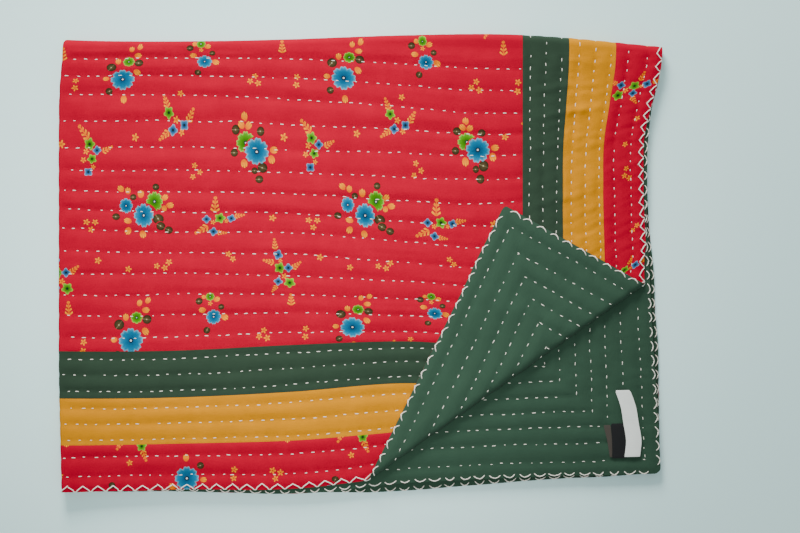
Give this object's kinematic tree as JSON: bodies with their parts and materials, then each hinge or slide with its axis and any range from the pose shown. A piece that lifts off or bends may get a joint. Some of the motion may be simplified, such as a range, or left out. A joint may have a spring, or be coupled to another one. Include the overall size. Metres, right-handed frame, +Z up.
{
  "type": "folded quilt",
  "caption": "Hand-quilted patchwork throw folded into quarters, with one corner of its top layer turned back over the pile.",
  "frame": {"origin": "centre of the pile's outline, on the surface that it lies on", "axes": "+X along the quilt's length, from the folded edge to the cut edges; +Y towards the upper folded edge; +Z up"},
  "size_m": [0.8519, 0.6494, 0.0246],
  "materials": {
    "green_cotton": "matt plain weave",
    "gold_cotton": "matt plain weave",
    "printed_cotton": "matt plain weave with a floral print",
    "white_ribbon": "smooth ribbon",
    "dark_ribbon": "satin ribbon"
  },
  "bodies": {
    "root": {"backing": "green_cotton", "centre_panel": "printed_cotton", "green_band_long_upper": "green_cotton", "green_band_long_lower": "green_cotton", "green_band_end_outer": "green_cotton", "green_band_end_inner": "green_cotton", "gold_band_long_upper": "gold_cotton", "gold_band_long_lower": "gold_cotton", "gold_band_end_outer": "gold_cotton", "gold_band_end_inner": "gold_cotton", "floral_band_long_upper": "printed_cotton", "floral_band_long_lower": "printed_cotton", "floral_band_end_outer": "printed_cotton", "floral_band_end_inner": "printed_cotton", "care_label": "white_ribbon", "dark_label": "dark_ribbon"}
  },
  "joints": []
}
